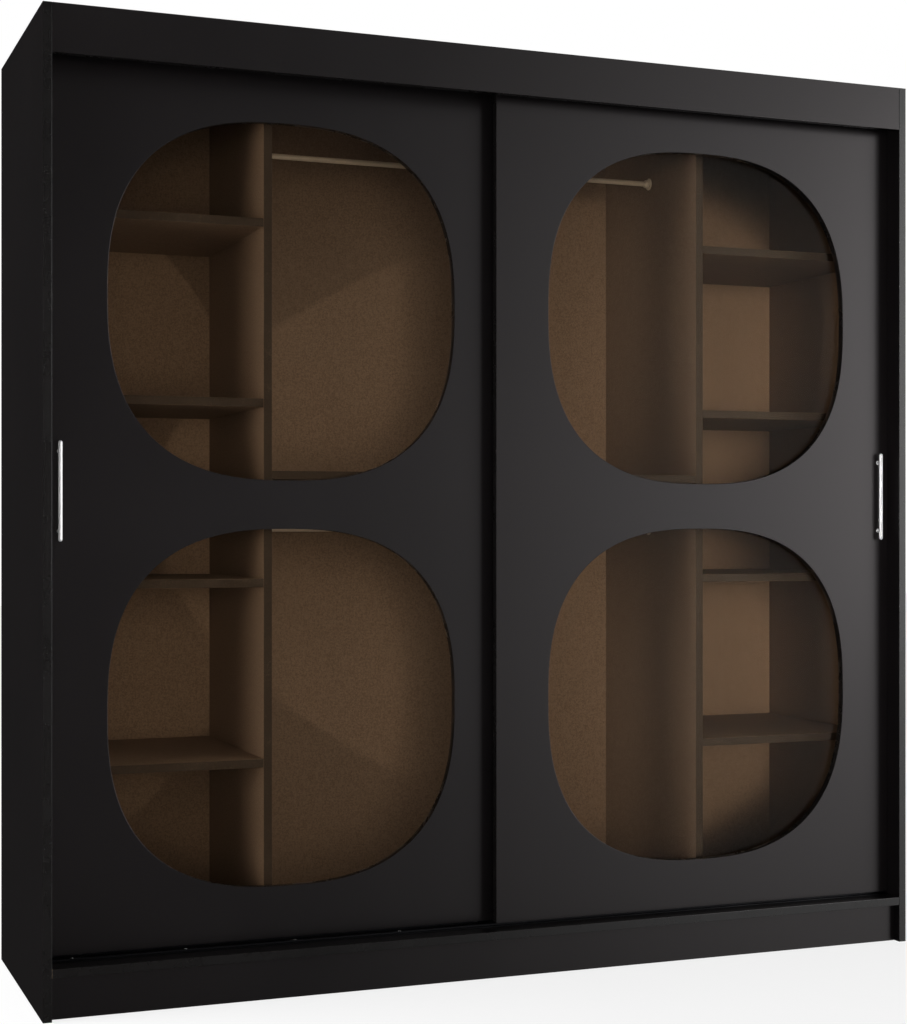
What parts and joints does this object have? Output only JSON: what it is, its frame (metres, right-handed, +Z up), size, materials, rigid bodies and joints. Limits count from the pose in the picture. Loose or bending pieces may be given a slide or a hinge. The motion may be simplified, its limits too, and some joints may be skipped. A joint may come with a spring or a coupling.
{
  "type": "sliding door wardrobe",
  "caption": "Freestanding wardrobe with overlapping sliding doors that have soft-cornered bronze glass windows, over bays with shelves and hanging rails.",
  "frame": {"origin": "on the floor, at the middle of the overall box", "axes": "+X to the right as the doors are faced, +Y from the doors to the back, +Z up"},
  "size_m": [2, 0.59, 2],
  "materials": {
    "black_laminate": "matte black melamine",
    "inner_laminate": "matte taupe melamine with a linen print",
    "back_sheet": "matte taupe printed hardboard",
    "bronze_glass": "smooth bronze tint",
    "handle_chrome": "satin chrome",
    "rail_chrome": "polished chrome",
    "track_aluminium": "satin black anodised",
    "black_plastic": "moulded black",
    "wheel_plastic": "moulded dark grey nylon"
  },
  "bodies": {
    "carcass": {"side_panel_left": "black_laminate", "side_panel_right": "black_laminate", "fascia": "black_laminate", "top_panel": "black_laminate", "bottom_panel": "black_laminate", "plinth_front": "black_laminate", "plinth_rear": "black_laminate", "plinth_brace_left": "black_laminate", "plinth_brace_right": "black_laminate", "back_sheet_left": "back_sheet", "back_sheet_middle": "back_sheet", "back_sheet_right": "back_sheet", "partition_left": "inner_laminate", "partition_right": "inner_laminate", "shelf_left_1": "inner_laminate", "shelf_left_2": "inner_laminate", "shelf_left_3": "inner_laminate", "shelf_left_4": "inner_laminate", "shelf_right_1": "inner_laminate", "shelf_right_2": "inner_laminate", "shelf_right_3": "inner_laminate", "shelf_right_4": "inner_laminate", "divider_shelf": "inner_laminate", "upper_rail": "rail_chrome", "upper_rail_socket_left": "rail_chrome", "upper_rail_socket_right": "rail_chrome", "lower_rail": "rail_chrome", "lower_rail_socket_left": "rail_chrome", "lower_rail_socket_right": "rail_chrome", "bottom_track": "track_aluminium", "top_track": "track_aluminium"},
    "front_door": {"front_door_board": "black_laminate", "front_door_pane_upper": "bronze_glass", "front_door_pane_lower": "bronze_glass", "front_door_bead_upper": "black_plastic", "front_door_bead_lower": "black_plastic", "front_door_handle_bar": "handle_chrome", "front_door_handle_post_lower": "handle_chrome", "front_door_handle_post_upper": "handle_chrome", "front_door_roller_left": "black_plastic", "front_door_roller_right": "black_plastic", "front_door_guide_left": "black_plastic", "front_door_guide_right": "black_plastic"},
    "rear_door": {"rear_door_board": "black_laminate", "rear_door_pane_upper": "bronze_glass", "rear_door_pane_lower": "bronze_glass", "rear_door_bead_upper": "black_plastic", "rear_door_bead_lower": "black_plastic", "rear_door_handle_bar": "handle_chrome", "rear_door_handle_post_lower": "handle_chrome", "rear_door_handle_post_upper": "handle_chrome", "rear_door_roller_left": "black_plastic", "rear_door_roller_right": "black_plastic", "rear_door_guide_left": "black_plastic", "rear_door_guide_right": "black_plastic"},
    "front_door_wheel_left_body": {"front_door_wheel_left": "wheel_plastic"},
    "front_door_wheel_right_body": {"front_door_wheel_right": "wheel_plastic"},
    "rear_door_wheel_left_body": {"rear_door_wheel_left": "wheel_plastic"},
    "rear_door_wheel_right_body": {"rear_door_wheel_right": "wheel_plastic"}
  },
  "joints": [
    {"name": "front_door_slide", "type": "slide", "parent": "carcass", "child": "front_door", "axis": [-1, 0, 0], "range_m": [0, 0.96]},
    {"name": "rear_door_slide", "type": "slide", "parent": "carcass", "child": "rear_door", "axis": [1, 0, 0], "range_m": [0, 0.96]},
    {"name": "front_door_wheel_left_spin", "type": "hinge", "parent": "front_door", "child": "front_door_wheel_left_body", "pos_m": [0.049, -0.23785, 0.1231], "axis": [0, -1, 0], "range_deg": [0, 4100]},
    {"name": "front_door_wheel_right_spin", "type": "hinge", "parent": "front_door", "child": "front_door_wheel_right_body", "pos_m": [0.911, -0.23785, 0.1231], "axis": [0, -1, 0], "range_deg": [0, 4100]},
    {"name": "rear_door_wheel_left_spin", "type": "hinge", "parent": "rear_door", "child": "rear_door_wheel_left_body", "pos_m": [-0.911, -0.19885, 0.1231], "axis": [0, 1, 0], "range_deg": [0, 4100]},
    {"name": "rear_door_wheel_right_spin", "type": "hinge", "parent": "rear_door", "child": "rear_door_wheel_right_body", "pos_m": [-0.049, -0.19885, 0.1231], "axis": [0, 1, 0], "range_deg": [0, 4100]}
  ],
  "couplings": [
    {"joint": "front_door_wheel_left_spin", "follows": "front_door_slide", "rad_per_m": 74.074},
    {"joint": "front_door_wheel_right_spin", "follows": "front_door_slide", "rad_per_m": 74.074},
    {"joint": "rear_door_wheel_left_spin", "follows": "rear_door_slide", "rad_per_m": 74.074},
    {"joint": "rear_door_wheel_right_spin", "follows": "rear_door_slide", "rad_per_m": 74.074}
  ]
}
